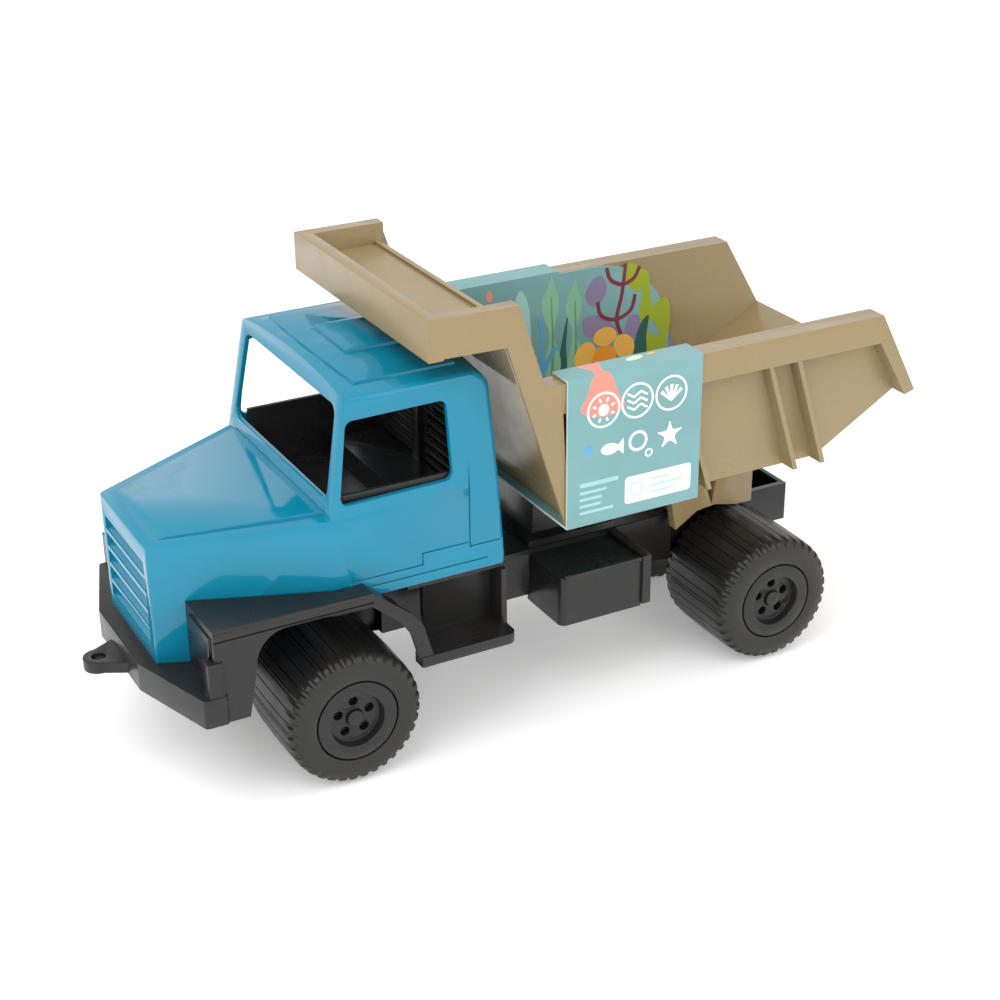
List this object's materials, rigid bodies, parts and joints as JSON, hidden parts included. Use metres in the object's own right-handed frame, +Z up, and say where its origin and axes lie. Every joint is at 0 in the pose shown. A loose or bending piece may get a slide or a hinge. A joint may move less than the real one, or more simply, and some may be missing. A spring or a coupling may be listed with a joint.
{
  "type": "toy tipper truck",
  "caption": "Toy tipper truck with a tilting load body, canopy over the cab, rolling wheels, tow eye and a printed card band round the load body.",
  "frame": {"origin": "on the ground, midway along the overall length and on the centre line", "axes": "+X towards the cab, +Y to the truck's left, +Z up"},
  "size_m": [0.2868, 0.1058, 0.1493],
  "materials": {
    "black_plastic": "satin moulded plastic",
    "blue_plastic": "glossy moulded plastic",
    "khaki_plastic": "semi-gloss moulded plastic",
    "tyre_rubber": "satin moulded plastic",
    "steel": "plated steel",
    "printed_card": "printed, satin coat"
  },
  "bodies": {
    "chassis": {"chassis_frame": "black_plastic", "front_moulding": "black_plastic", "cab_shell": "blue_plastic", "cab_interior": "black_plastic", "cab_screws": "steel", "moulding_screws": "steel", "hinge_pin": "steel", "hinge_clip": "steel"},
    "tipper": {"tipper_body": "khaki_plastic", "cardboard_sleeve": "printed_card"},
    "front_wheelset": {"front_axle": "steel", "hub_front_left": "black_plastic", "tyre_front_left": "tyre_rubber", "hub_front_right": "black_plastic", "tyre_front_right": "tyre_rubber"},
    "rear_wheelset": {"rear_axle": "steel", "hub_rear_left": "black_plastic", "tyre_rear_left": "tyre_rubber", "hub_rear_right": "black_plastic", "tyre_rear_right": "tyre_rubber"}
  },
  "joints": [
    {"name": "tipper_tilt", "type": "hinge", "parent": "chassis", "child": "tipper", "pos_m": [-0.08725, 0, 0.0555], "axis": [0, -1, 0], "range_deg": [0, 50]},
    {"name": "front_axle_spin", "type": "hinge", "parent": "chassis", "child": "front_wheelset", "pos_m": [0.07275, 0, 0.023], "axis": [0, 1, 0], "continuous": true},
    {"name": "rear_axle_spin", "type": "hinge", "parent": "chassis", "child": "rear_wheelset", "pos_m": [-0.08725, 0, 0.023], "axis": [0, 1, 0], "continuous": true}
  ]
}
